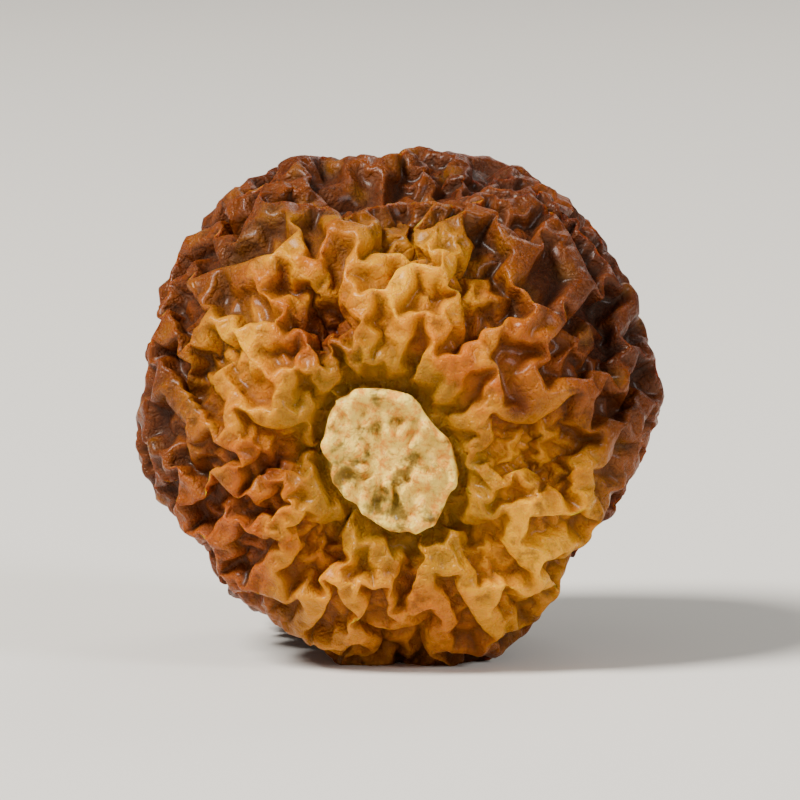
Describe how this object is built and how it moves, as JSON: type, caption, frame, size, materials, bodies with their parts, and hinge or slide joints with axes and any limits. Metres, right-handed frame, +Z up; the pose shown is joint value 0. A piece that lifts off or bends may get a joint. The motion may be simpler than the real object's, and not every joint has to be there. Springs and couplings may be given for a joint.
{
  "type": "dried physalis berry",
  "caption": "Small dried physalis berry, a wrinkled amber ball with a pale oval stem scar and radial skin folds; lies on a small flat spot.",
  "frame": {"origin": "on the resting plane, under the centre of the bounding box", "axes": "+Y from the stem scar to the blossom end, +Z up off the flat rest spot, +X to the right seen from the stem end"},
  "size_m": [0.0122, 0.0126, 0.0118],
  "materials": {
    "skin": "satin"
  },
  "bodies": {
    "root": {"berry": "skin"}
  },
  "joints": []
}
